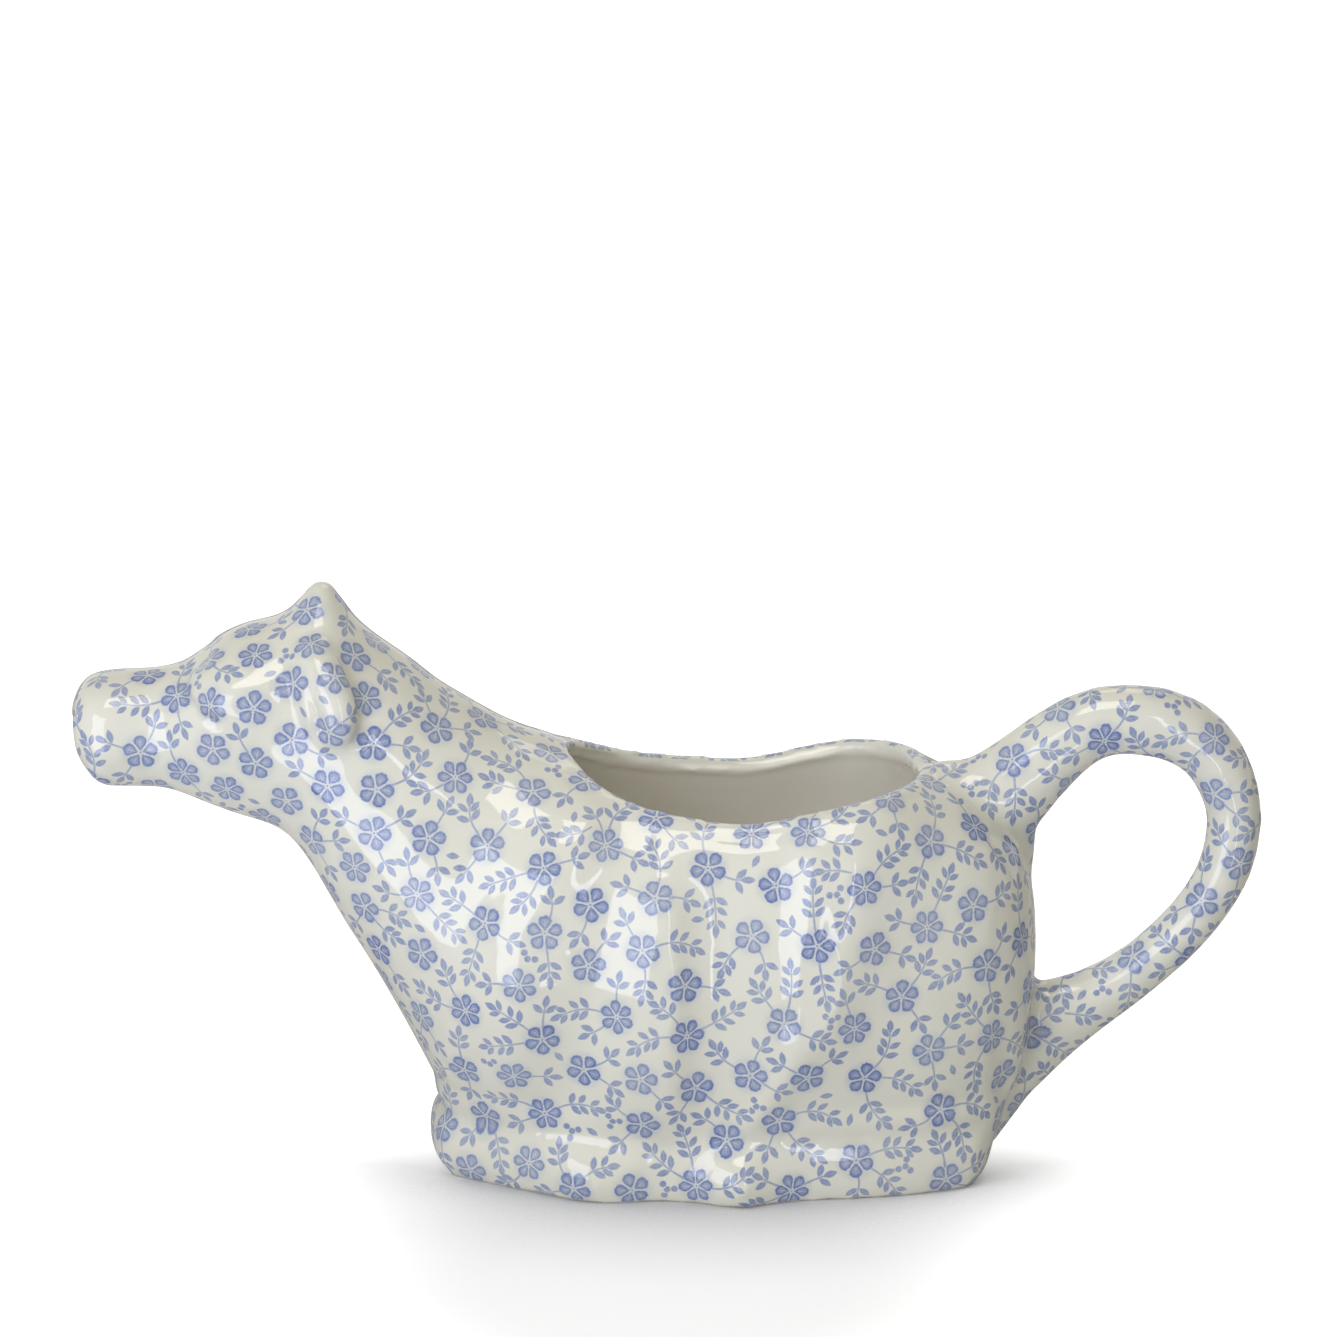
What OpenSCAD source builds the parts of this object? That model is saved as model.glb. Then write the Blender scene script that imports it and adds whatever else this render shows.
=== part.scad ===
// Cow creamer: a slip-cast earthenware jug in the shape of a standing cow.
// The back is open for filling, the hollow head pours, and the tail is the handle.
// X runs from the muzzle (minus) to the tail (plus), Y is the width and Z is up.
// The object stands on Z = 0 with its length and width centred on the origin.

/* [Overall size] */
// Length from the muzzle to the back of the tail loop
length = 200; // [180:1:230]
// Height from the table to the top of the poll
height = 101; // [92:0.5:115]
// Width across the thighs
width = 60; // [54:0.5:70]

/* [Cast walls] */
// Thickness of the cast walls
wall = 3.2; // [2.6:0.1:4]
// Thickness of the floor under the milk
floor_t = 3.6; // [3:0.1:6]
// How far the rounded rim swells past a straight cut
rim_r = 0.9; // [0.3:0.1:1.4]

/* [Opening in the back] */
// Distance from the middle forward to the front end of the opening
open_front_l = 17.4; // [10:0.1:22]
// Distance from the middle back to the rear end of the opening
open_back_l = 43.3; // [38:0.1:47]
// Distance from the middle back to the widest place of the opening
open_widest_l = 28; // [20:0.5:32]
// Half of the opening's greatest width
open_half_w = 21.4; // [16:0.1:22.5]

/* [Mouth] */
// Width of the pouring hole in the muzzle
mouth_w = 11; // [9:0.1:13]
// Height of the pouring hole
mouth_h = 6.2; // [5:0.1:7]

/* [Plinth] */
// Height of the plinth from the table to its waist
base_h = 11; // [9:0.5:13]
// Height of the flat foot rim
foot_h = 1.2; // [0.8:0.1:2]
// Width of the foot rim
foot_w = 5; // [3.5:0.1:7]
// Depth of the hollow under the plinth
recess_h = 6; // [3:0.5:7]
// How far the plinth swells past its waist
plinth_swell_t = 1.5; // [0.5:0.1:2.5]
// How far the four hooves stand out of the plinth
hoof_t = 2.4; // [0.5:0.1:3.5]
// Length of one hoof
hoof_l = 11; // [6:0.5:14]

/* [Relief] */
// How far the legs and the belly stand out of the sides
relief_t = 1.5; // [0.4:0.1:2]
// How far the brows stand out of the head
brow_t = 2; // [0.5:0.1:3]
// Length of one brow
brow_l = 14.5; // [9:0.5:16]
// Length of the poll between the ears
poll_l = 9; // [6:0.5:12]
// Width of the poll between the ears
poll_w = 17; // [12:0.5:22]

/* [Ears] */
// Width of an ear across its blade
ear_w = 9; // [7:0.5:12]
// Thickness of an ear
ear_t = 5.4; // [4:0.1:7]

/* [Tail handle] */
// Thickness of the tail loop at its top
tail_top_t = 11.8; // [9:0.1:14]
// Thickness of the tail loop at its back
tail_back_t = 9.2; // [7:0.1:11]
// Thickness of the tail loop below
tail_low_t = 8.6; // [7:0.1:11]
// Thickness of the tail where it springs from the rump
tail_root_t = 20; // [16:0.5:24]

/* [Fineness] */
// Points down one side of a section, above its widest level
upper_steps = 9; // [5:1:10]
// Points down one side of a section, below its widest level
lower_steps = 7; // [5:1:10]
// Sections along the opening
open_steps = 20; // [16:2:28]
// Sections from the opening to the end of the rump
rump_steps = 9; // [7:1:14]
// Sections from the opening to the neck joint
chest_steps = 15; // [12:1:20]
// Sections from the neck joint to the mouth
head_steps = 27; // [22:1:34]
// Points along one side of the plinth
plinth_steps = 42; // [30:2:48]
// Sections along the tail loop
tail_steps = 30; // [20:1:40]
// Sections along an ear
ear_steps = 12; // [8:1:18]
// Sides of the tail loop and of an ear
tube_sides = 20; // [16:2:28]

/* [Hidden] */
glaze = [0.80, 0.83, 0.90];

// Sections of the cow from the end of the rump to the mouth. Each row is
// [top x, top z, bottom x, bottom z, half width, widest level, foot, squareness].
// x is a share of the length, top z of the height, and bottom z of the height over
// the waist. Half width and foot are shares of half the width, and the widest level
// of the section's height. Where bottom z is below zero the section stands flat on
// the waist, as wide there as its foot, and elsewhere it is round underneath.
section_shares = [
  [0.3115, 0.376, 0.3115, 0.300, 0.00, 0.50, 0.40, 2.1],   // end of the rump
  [0.3080, 0.470, 0.3080, 0.183, 0.26, 0.50, 0.40, 2.3],
  [0.2995, 0.537, 0.2995, 0.080, 0.43, 0.50, 0.40, 2.6],
  [0.2885, 0.580, 0.2885, 0.000, 0.55, 0.50, 0.42, 2.8],   // heel
  [0.2625, 0.630, 0.2625, -0.05, 0.70, 0.47, 0.50, 3.0],   // rump
  [0.2200, 0.677, 0.2200, -0.10, 0.84, 0.45, 0.65, 3.0],
  [0.1750, 0.723, 0.1750, -0.10, 0.92, 0.44, 0.72, 3.0],   // hips
  [0.1250, 0.715, 0.1250, -0.10, 0.96, 0.44, 0.77, 3.0],   // thighs
  [0.0700, 0.686, 0.0700, -0.10, 0.96, 0.44, 0.82, 3.0],
  [0.0150, 0.687, 0.0150, -0.10, 0.95, 0.44, 0.82, 2.95],  // belly
  [-0.0400, 0.697, -0.0400, -0.10, 0.93, 0.44, 0.79, 2.6],
  [-0.0850, 0.722, -0.0850, -0.10, 0.90, 0.44, 0.69, 2.2], // withers
  [-0.1125, 0.738, -0.1300, -0.10, 0.87, 0.44, 0.52, 2.1], // shoulders
  [-0.1350, 0.756, -0.1675, -0.06, 0.82, 0.44, 0.36, 2.1],
  [-0.1550, 0.778, -0.1965, 0.039, 0.76, 0.45, 0.26, 2.1], // breast
  [-0.1750, 0.802, -0.2215, 0.147, 0.71, 0.45, 0.26, 2.1],
  [-0.1950, 0.827, -0.2490, 0.258, 0.66, 0.46, 0.26, 2.1],
  [-0.2150, 0.859, -0.2755, 0.356, 0.61, 0.47, 0.26, 2.2], // neck
  [-0.2350, 0.887, -0.3000, 0.456, 0.58, 0.48, 0.26, 2.2],
  [-0.2525, 0.909, -0.3200, 0.516, 0.55, 0.50, 0.26, 2.2], // throat
  [-0.2725, 0.925, -0.3400, 0.540, 0.53, 0.52, 0.26, 2.2],
  [-0.2925, 0.933, -0.3600, 0.553, 0.51, 0.54, 0.26, 2.2], // cheeks
  [-0.3125, 0.936, -0.3800, 0.569, 0.50, 0.56, 0.26, 2.2],
  [-0.3325, 0.930, -0.3975, 0.585, 0.48, 0.57, 0.26, 2.2],
  [-0.3525, 0.922, -0.4125, 0.598, 0.45, 0.57, 0.26, 2.2], // brows
  [-0.3725, 0.905, -0.4250, 0.605, 0.41, 0.56, 0.26, 2.2],
  [-0.3925, 0.876, -0.4365, 0.607, 0.37, 0.54, 0.26, 2.2],
  [-0.4125, 0.853, -0.4475, 0.608, 0.34, 0.52, 0.26, 2.3], // bridge of the nose
  [-0.4350, 0.845, -0.4590, 0.609, 0.34, 0.50, 0.26, 2.3],
  [-0.4575, 0.842, -0.4710, 0.611, 0.35, 0.50, 0.26, 2.4], // muzzle
  [-0.4775, 0.838, -0.4800, 0.620, 0.34, 0.50, 0.26, 2.4],
  [-0.4915, 0.824, -0.4875, 0.641, 0.30, 0.50, 0.26, 2.3],
  [-0.4997, 0.791, -0.4937, 0.665, 0.24, 0.50, 0.26, 2.2],
  [-0.4992, 0.762, -0.4947, 0.692, 0.18, 0.50, 0.26, 2.2]  // lips
];
last_row = len(section_shares) - 1;
heel_row = 3;
shoulder_row = 12;
neck_row = 19;
// How far below the waist a row's bottom lies where its foot has its full width
foot_depth_share = 0.05;
// Below this foot the underside of a section turns from flat to round
foot_blend = width / 8;
// The steepest slant at which a wall keeps its full thickness
least_slant = 0.45;

// How the opening's outline rounds off towards its front and its rear end
front_power = 2.5;
rear_power = 2.1;
// How far the sections crowd together at the ends of the opening
end_crowd = 0.75;

// Legs and belly in relief. Each row is [x at the top, z at the top, x at the
// bottom, z at the bottom, strength, reach forward, reach back], with x and the
// reaches as shares of the length and z as a share of the height.
relief_shares = [
  [-0.075, 0.594, -0.125, 0.198, 1.0, 0.050, 0.022], // shoulder and foreleg
  [-0.003, 0.495, -0.003, 0.149, 0.9, 0.050, 0.018], // belly
  [0.140, 0.594, 0.090, 0.149, 0.9, 0.024, 0.040]    // thigh and hind leg
];
// Groove behind each of those, against their strength, and its distance in reaches
groove_share = 0.5;
groove_gap = 2.2;
// How fast a leg's relief dies out over its top
fade_rate = 3;
// How far past its two ends a leg's line is followed
line_over = 0.2;

// Middles of the hooves along the plinth, and how strong each one is
hoof_shares = [[-0.172, 0.5], [-0.060, 0.8], [0.060, 1.4], [0.250, 0.8]];

// The plinth from its foot rim to the waist. Each row is [z, front x, rear x, swell, hoof]:
// z as a share of the plinth over its foot rim, x of the length, and the others of the
// plinth's swell and of the hooves.
plinth_shares = [
  [0.00, -0.1880, 0.2720, 0.75, 0.90],
  [0.16, -0.1950, 0.2740, 1.00, 1.00],
  [0.45, -0.1975, 0.2785, 0.90, 0.75],
  [0.78, -0.1950, 0.2850, 0.40, 0.20]
];
// How far the foot rim is drawn in from the plinth's edge
foot_in = foot_h / 2;

// Middle line of the tail loop from the top of the rump round to the heel. Each row is
// [x, z, root, back, low, width]: x as a share of the loop's reach, z of the height over
// the waist, then how far the thickness goes over from that of the top to that of the
// root, of the back and of the low stretch, and the width as a share of the thickness.
// The ends are buried.
tail_shares = [
  [0.460, 0.533, 1.10, 0.00, 0.00, 0.85], [0.556, 0.561, 0.78, 0.00, 0.00, 0.80],
  [0.626, 0.624, 0.33, 0.00, 0.00, 0.84], [0.709, 0.701, 0.07, 0.00, 0.00, 0.92],
  [0.786, 0.731, 0.00, 0.00, 0.00, 0.96], [0.882, 0.720, 0.00, 0.00, 0.00, 1.00],
  [0.947, 0.677, 0.00, 0.40, 0.00, 1.04], [0.985, 0.611, 0.00, 0.75, 0.00, 1.10],
  [1.000, 0.538, 0.00, 1.00, 0.00, 1.14], [0.989, 0.456, 0.00, 0.60, 0.40, 1.14],
  [0.958, 0.385, 0.00, 0.00, 1.00, 1.12], [0.904, 0.311, 0.00, 0.00, 1.00, 1.10],
  [0.824, 0.234, 0.00, 0.00, 0.90, 1.05], [0.731, 0.171, 0.15, 0.00, 0.50, 0.85],
  [0.645, 0.126, 0.65, 0.00, 0.00, 0.55], [0.577, 0.081, 1.00, 0.00, 0.00, 0.45],
  [0.482, 0.011, 0.60, 0.00, 0.00, 0.42]
];

// Middle line of an ear from the poll out and down to its tip. Each row is
// [x, y, z, width, thickness]: x as a share of the length, y of half the width, z of
// the height, and the others of the ear's own.
ear_shares = [
  [-0.2965, 0.150, 0.886, 0.56, 0.85], [-0.2990, 0.287, 0.901, 0.69, 1.00],
  [-0.2950, 0.400, 0.887, 0.80, 1.04], [-0.2870, 0.497, 0.855, 0.94, 1.04],
  [-0.2800, 0.540, 0.818, 1.00, 1.00], [-0.2780, 0.540, 0.784, 0.80, 0.89],
  [-0.2795, 0.513, 0.758, 0.31, 0.48]
];

function lerp(a, b, t) = a + (b - a) * t;
function unit(v) = v / norm(v);
function flip(p) = [p[0], -p[1], p[2]];
function bell(d) = exp(-d * d);
// A smooth curve through q and r, with p and s as the neighbours on either side
function curve(p, q, r, s, t) =
  0.5 * (2 * q + (r - p) * t + (2 * p - 5 * q + 4 * r - s) * t * t
    + (3 * q - p - 3 * r + s) * t * t * t);

// Past the rump the rows are mirrored, so that the end is round
function row(i) =
  i < 0 ? let(a = section_shares[0], b = section_shares[1])
    [b[0], 2 * a[1] - b[1], b[2], 2 * a[3] - b[3], -b[4], b[5], b[6], b[7]]
  : i > last_row ? 2 * section_shares[last_row] - section_shares[last_row - 1]
  : section_shares[i];
function blended(s) = let(i = min(last_row - 1, floor(s)))
  curve(row(i - 1), row(i), row(i + 1), row(i + 2), s - i);
// The outside of the cow at section s, in millimetres
function section(s) =
  let(r = blended(s), under = min(1, max(0, -r[3] / foot_depth_share)))
  [r[0] * length, r[1] * height, r[2] * length, base_h + max(0, r[3]) * (height - base_h),
   max(0, r[4]) * width / 2, r[5], sqrt(under) * r[6] * width / 2, r[7]];
function top_of(c) = [c[0], c[1]];
function bottom_of(c) = [c[2], c[3]];
function slant(a, b) = max(least_slant, abs(a[0] * b[1] - a[1] * b[0]));

// The section whose top lies at x
function section_at(x, low = heel_row, high = neck_row, n = 24) =
  n == 0 ? (low + high) / 2
  : let(mid = (low + high) / 2) section(mid)[0] > x
    ? section_at(x, mid, high, n - 1) : section_at(x, low, mid, n - 1);
// The place between rows low and high where the breast leaves the plinth
function toe(low, high, n = 24) =
  n == 0 ? low
  : let(mid = (low + high) / 2) blended(mid)[3] < 0 ? toe(mid, high, n - 1) : toe(low, mid, n - 1);
s_toe = toe(shoulder_row, shoulder_row + 2);
s_back = section_at(open_back_l);
s_front = section_at(-open_front_l);
s_neck = neck_row;

// Half the opening's width at x
function open_half(x) =
  x >= open_widest_l
    ? open_half_w * pow(max(0, 1 - pow((x - open_widest_l) / (open_back_l - open_widest_l),
        rear_power)), 1 / rear_power)
    : open_half_w * pow(max(0, 1 - pow((open_widest_l - x) / (open_widest_l + open_front_l),
        front_power)), 1 / front_power);

// The inside of the wall at section s. Past the opening's rear end the whole
// section shrinks towards the rump, and elsewhere each side moves in by the wall.
step_share = 0.05;
function inner(s) = s < s_back ? inner_rump(section(s)) : inner_plain(s);
function inner_plain(s) =
  let(c = section(s), a = section(s - step_share), b = section(s + step_share),
      axis = unit(top_of(c) - bottom_of(c)),
      t = top_of(c) - axis * wall / slant(axis, unit(top_of(b) - top_of(a))),
      under = c[6] > 0 ? floor_t : wall,
      u = bottom_of(c) + axis * under / slant(axis, unit(bottom_of(b) - bottom_of(a))))
  [t[0], t[1], u[0], u[1], c[4] - wall, c[5], max(0, c[6] - wall), c[7]];
function inner_rump(c) =
  let(o = section(s_back), i = inner_plain(s_back), e = section(0),
      x = o[0] + (c[0] - o[0]) * (e[0] - wall - o[0]) / (e[0] - o[0]),
      mid = e[1],
      t = mid + (c[1] - mid) * (i[1] - mid) / (o[1] - mid),
      b = mid + (c[3] - mid) * (i[3] - mid) / (o[3] - mid))
  [x, t, x, b, c[4] * i[4] / o[4], c[5], c[6] * i[6] / o[6], c[7]];
// The inside of the head narrows to the pouring hole and no further
function inner_head(s) =
  let(c = section(s), mid = (top_of(c) + bottom_of(c)) / 2,
      half = (top_of(c) - bottom_of(c)) / 2,
      p = inner_plain(s), free = norm(top_of(p) - bottom_of(p)) / 2,
      tall = top_of(p)[1] < bottom_of(p)[1] ? 0 : free,
      h = unit(half) * max(tall, mouth_h / 2),
      m = tall > mouth_h / 2 ? (top_of(p) + bottom_of(p)) / 2 : mid)
  [m[0] + h[0], m[1] + h[1], m[0] - h[0], m[1] - h[1],
   max(c[4] - wall, mouth_w / 2), c[5], 0, c[7]];
function lips() =
  let(c = section(last_row), mid = (top_of(c) + bottom_of(c)) / 2,
      h = unit(top_of(c) - bottom_of(c)) * mouth_h / 2)
  [mid[0] + h[0], mid[1] + h[1], mid[0] - h[0], mid[1] - h[1], mouth_w / 2, c[5], 0, c[7]];

// Relief of the sides: how far a point at x and z stands out
function ridge(r, x, z) =
  let(t = (r[1] * height - z) / ((r[1] - r[3]) * height),
      d = x - lerp(r[0], r[2], min(1 + line_over, max(-line_over, t))) * length,
      fade = t < 0 ? bell(t * fade_rate) : 1,
      rise = d < 0 ? bell(d / (r[5] * length)) : bell(d / (r[6] * length)),
      dip = d < 0 ? 0 : bell(d / (r[6] * length) - groove_gap))
  r[4] * fade * (rise - groove_share * dip);
function relief(x, z) =
  let(low = min(1, max(0, (z - base_h) / base_h)))
  relief_t * low * (ridge(relief_shares[0], x, z) + ridge(relief_shares[1], x, z)
    + ridge(relief_shares[2], x, z));

// Middle of the brow, as shares of the length and the height, and how far out from the
// middle plane it gains its full strength, as a share of the width
brow_share = [-0.362, 0.848, 0.055];
// How steep a brow is towards the nose, towards the poll, and upwards
brow_steep = [1.15, 0.85, 1.1];
// Middle of the poll and the height it rises from, as shares of the length and height
poll_share = [-0.2885, 0.933];
// The poll lifts nothing below this share of the height
poll_low = 0.85;
function brow(p) =
  let(d = [p[0] - brow_share[0] * length, p[2] - brow_share[1] * height] * 2 / brow_l,
      steep = d[0] < 0 ? brow_steep[0] : brow_steep[1])
  brow_t * bell(d[0] * steep) * bell(d[1] * brow_steep[2])
    * min(1, p[1] / (brow_share[2] * width));
function poll(p) =
  (height - poll_share[1] * height) * bell((p[0] - poll_share[0] * length) * 2 / poll_l)
    * bell(p[1] * 2 / poll_w) * (p[2] > poll_low * height ? 1 : 0);
function dressed(p, half) = half <= 0 ? p
  : let(side = min(1, p[1] / half))
    [p[0], p[1] + (relief(p[0], p[2]) + brow(p)) * side * side, p[2] + poll(p)];

// One side of a section, from its top or from the rim down to its foot
function at(c, y, h) = [lerp(c[2], c[0], h), y, lerp(c[3], c[1], h)];
function side(c, y0) =
  let(q0 = y0 <= 0 ? 0 : asin(min(1, pow(y0 / c[4], c[7] / 2))), e = 2 / c[7],
      round_under = 1 - min(1, c[6] / foot_blend))
  concat(
    [for (i = [0:upper_steps - 1]) let(q = lerp(q0, 90, i / upper_steps))
      at(c, c[4] * pow(sin(q), e), lerp(c[5], 1, pow(cos(q), e)))],
    [for (i = [0:lower_steps]) let(q = 90 * i / lower_steps, u = pow(sin(q), e))
      at(c, c[6] + (c[4] - c[6]) * lerp(1 - u * u, pow(max(0, cos(q)), e), round_under),
        c[5] * (1 - u))]);
function outer_side(s, y0) = let(c = section(s)) [for (p = side(c, y0)) dressed(p, c[4])];

// Both sides of a section: down the right, then up the left
function both(half) = concat(half, [for (i = [len(half) - 1:-1:0]) flip(half[i])]);
// A closed ring: the same without the doubled points at the top and bottom
function ring(half) = concat(half, [for (i = [len(half) - 2:-1:1]) flip(half[i])]);
function flat(lists) = [for (l = lists) each l];
function clean(faces) =
  [for (f = faces) if (f[0] != f[1] && f[1] != f[2] && f[2] != f[0]) f];

// Places of the sections from the rump to the neck joint
s_list = concat(
  [for (i = [1:rump_steps - 1]) s_back * sin(90 * i / rump_steps)],
  [for (i = [0:open_steps]) lerp(lerp(s_back, s_front, i / open_steps),
    lerp((s_back + s_front) / 2, s_back, cos(180 * i / open_steps)), end_crowd)],
  [for (i = [1:chest_steps]) lerp(s_front, s_neck, i / chest_steps)]);
first_open = rump_steps;
last_open = rump_steps + open_steps - 2;
count = len(s_list);
side_n = upper_steps + lower_steps + 1;
ring_n = 2 * side_n;

module body_shell() {
  gap = [for (i = [0:count - 1]) i >= first_open && i <= last_open ? open_half(section(s_list[i])[0]) : 0];
  narrow = 1 - wall / open_half_w;
  outside = [for (i = [0:count - 1]) both(outer_side(s_list[i], gap[i]))];
  inside = [for (i = [0:count - 1]) both(side(inner(s_list[i]), gap[i] * narrow))];
  closed_top = [for (i = [0:count - 1]) gap[i] <= 0];
  closed_out = [for (s = s_list) section(s)[6] <= 0];
  closed_in = [for (s = s_list) inner(s)[6] <= 0];
  // Middle of the rounded rim, pushed out square to the rim's own line
  function rim(i) = i < first_open - 1 ? flip(outside[first_open][0])
    : i > last_open + 1 ? flip(outside[last_open][0]) : outside[i][0];
  crown = [for (i = [first_open - 1:last_open + 1])
    let(o = outside[i][0], n = inside[i][0],
        push = unit(cross(rim(i - 1) - rim(i + 1), n - o)))
    (o + n) / 2 + rim_r * push];
  start = count * ring_n;
  crown_start = 2 * start;
  ends = crown_start + 2 * len(crown);
  e = section(0);
  points = concat(flat(outside), flat(inside), flat([for (p = crown) [p, flip(p)]]),
    [[e[0], 0, e[1]], [inner_rump(e)[0], 0, e[1]]]);
  function place(i, k, closed) =
    k == side_n && closed[i] ? i * ring_n + side_n - 1
    : k == ring_n - 1 && closed_top[i] ? i * ring_n
    : i * ring_n + k;
  function out(i, k) = place(i, k, closed_out);
  function in(i, k) = start + place(i, k, closed_in);
  function crest(i, left) = crown_start + 2 * (i - first_open + 1) + (left && !closed_top[i] ? 1 : 0);
  skins = [for (i = [0:count - 2], k = [0:ring_n - 2]) each [
    [out(i, k), out(i + 1, k), out(i + 1, k + 1)], [out(i, k), out(i + 1, k + 1), out(i, k + 1)],
    [in(i, k), in(i + 1, k + 1), in(i + 1, k)], [in(i, k), in(i, k + 1), in(i + 1, k + 1)]]];
  rump = [for (k = [0:ring_n - 2]) each [
    [ends, out(0, k), out(0, k + 1)], [ends + 1, in(0, k + 1), in(0, k)]]];
  joint = [for (k = [0:ring_n - 2]) let(i = count - 1) each [
    [out(i, k), in(i, k), in(i, k + 1)], [out(i, k), in(i, k + 1), out(i, k + 1)]]];
  lip = [for (i = [first_open - 1:last_open]) each [
    [out(i, 0), crest(i, false), crest(i + 1, false)], [out(i, 0), crest(i + 1, false), out(i + 1, 0)],
    [crest(i, false), in(i, 0), in(i + 1, 0)], [crest(i, false), in(i + 1, 0), crest(i + 1, false)],
    [out(i, ring_n - 1), crest(i + 1, true), crest(i, true)],
    [out(i, ring_n - 1), out(i + 1, ring_n - 1), crest(i + 1, true)],
    [crest(i, true), in(i + 1, ring_n - 1), in(i, ring_n - 1)],
    [crest(i, true), crest(i + 1, true), in(i + 1, ring_n - 1)]]];
  polyhedron(points, clean(concat(skins, rump, joint, lip)), convexity = 8);
}

// A loft through closed rings, each mirrored about the middle plane. The last ring
// joins the first, or both are capped by strips from side to side.
module loft(rings, closed) {
  n = len(rings);
  m = len(rings[0]);
  through = [for (i = [0:closed ? n - 1 : n - 2], k = [0:m - 1])
    let(a = i * m, b = ((i + 1) % n) * m, l = (k + 1) % m) each
    [[a + k, b + k, b + l], [a + k, b + l, a + l]]];
  strips = [for (k = [0:m / 2 - 1]) each
    [[k, k + 1, m - k - 1], [k, m - k - 1, (m - k) % m]]];
  last = (n - 1) * m;
  caps = closed ? [] : concat(strips, [for (t = strips) [t[0] + last, t[2] + last, t[1] + last]]);
  polyhedron(flat(rings), clean(concat(through, caps)), convexity = 8);
}

head_list = [for (i = [0:head_steps]) lerp(s_neck, last_row, i / head_steps)];
function head_outside() = concat(
  [for (i = [0:head_steps - 1]) ring(outer_side(head_list[i], 0))], [ring(side(lips(), 0))]);
function head_inside() =
  [for (i = [head_steps - 1:-1:0]) ring(side(i == 0 ? inner(s_neck) : inner_head(head_list[i]), 0))];

module head_shell() { loft(concat(head_outside(), head_inside()), true); }

// The outside of the cow as solid clay, which shapes the seats of what is luted on
module head_form() { loft(head_outside(), false); }
module trunk_form() { loft([for (s = s_list) ring(outer_side(s, 0))], false); }

// One side of the plinth's outline from heel to toe, between two x and with a swell
function edge(front, rear, swell, hoof) =
  let(heel = section(heel_row)[2], tip = section(s_toe)[2], full = width / 2)
  [for (i = [0:plinth_steps])
    let(s = lerp(heel_row, s_toe, (1 - cos(180 * i / plinth_steps)) / 2), c = section(s),
        x = lerp(front, rear, (c[2] - tip) / (heel - tip)),
        lumps = [for (h = hoof_shares) h[1] * bell((x - h[0] * length) * 2 / hoof_l)])
    [x, i == 0 || i == plinth_steps ? 0
      : c[6] * (1 + swell * plinth_swell_t / full) + hoof * hoof_t * sum(lumps)]];
function sum(v, i = 0) = i == len(v) ? 0 : v[i] + sum(v, i + 1);
function raised(outline, z) = [for (p = outline) [p[0], p[1], z]];
function plinth_edge(r) = edge(r[1] * length, r[2] * length, r[3], r[4]);
// The same outline drawn in by d all round
function drawn_in(outline, d) =
  let(a = outline[0][0], b = outline[len(outline) - 1][0], mid = (a + b) / 2,
      wide = max([for (p = outline) p[1]]))
  [for (p = outline) [mid + (p[0] - mid) * (1 - 2 * d / (a - b)), p[1] * (1 - d / wide)]];
module plate(outline) {
  polygon(concat(outline, [for (i = [len(outline) - 2:-1:1]) [outline[i][0], -outline[i][1]]]));
}
foot_edge = drawn_in(plinth_edge(plinth_shares[0]), foot_in);
module plinth_form() {
  top = edge(section(s_toe)[2], section(heel_row)[2], 0, 0);
  loft(concat(
    [for (r = plinth_shares) ring(raised(plinth_edge(r), lerp(foot_h, base_h, r[0])))],
    [ring(raised(top, base_h))]), false);
}
module base() {
  color(glaze) difference() {
    union() {
      plinth_form();
      linear_extrude(foot_h) plate(foot_edge);
    }
    translate([0, 0, -recess_h]) linear_extrude(2 * recess_h) plate(drawn_in(foot_edge, foot_w));
  }
}

// The tail loop: a ring across its middle line at place t
function tail_row(i) = let(r = tail_shares[i])
  [r[0] * (length - tail_back_t) / 2, lerp(base_h, height, r[1]),
   tail_top_t + r[2] * (tail_root_t - tail_top_t) + r[3] * (tail_back_t - tail_top_t)
     + r[4] * (tail_low_t - tail_top_t), r[5]];
function tail_at(t) =
  let(n = len(tail_shares) - 1, i = max(0, min(n - 1, floor(t))))
  curve(tail_row(max(0, i - 1)), tail_row(i), tail_row(i + 1), tail_row(min(n, i + 2)), t - i);
function tail_ring(t) =
  let(c = tail_at(t), a = tail_at(t - step_share), b = tail_at(t + step_share),
      out = unit([a[1] - b[1], b[0] - a[0]]))
  [for (k = [0:tube_sides - 1]) let(q = 360 * k / tube_sides, r = c[2] / 2)
    [c[0] + out[0] * r * cos(q), r * c[3] * sin(q), c[1] + out[1] * r * cos(q)]];
module tail_form() {
  n = len(tail_shares) - 1;
  loft([for (i = [0:tail_steps]) tail_ring(n * (tail_steps - i) / tail_steps)], false);
}
// The tail stands clear of the plinth by this much, which its slip fills
seat_gap = 0.6;
module tail_handle() {
  color(glaze) difference() {
    tail_form();
    trunk_form();
    for (z = [0, seat_gap]) translate([0, 0, z]) plinth_form();
  }
}

// An ear: rings across its middle line, with the blade's width lying along X
function ear_row(i) = let(r = ear_shares[i])
  [r[0] * length, r[1] * width / 2, r[2] * height, r[3] * ear_w, r[4] * ear_t];
function ear_at(t) =
  let(n = len(ear_shares) - 1, i = max(0, min(n - 1, floor(t))))
  curve(ear_row(max(0, i - 1)), ear_row(i), ear_row(i + 1), ear_row(min(n, i + 2)), t - i);
function place_of(c) = [c[0], c[1], c[2]];
function ear_ring(t) =
  let(c = ear_at(t), along = unit(place_of(ear_at(t + step_share)) - place_of(ear_at(t - step_share))),
      thin = unit(cross(along, [1, 0, 0])), broad = cross(thin, along))
  [for (k = [0:tube_sides - 1]) let(q = 360 * k / tube_sides)
    place_of(c) + broad * c[3] / 2 * cos(q) + thin * c[4] / 2 * sin(q)];
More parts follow.
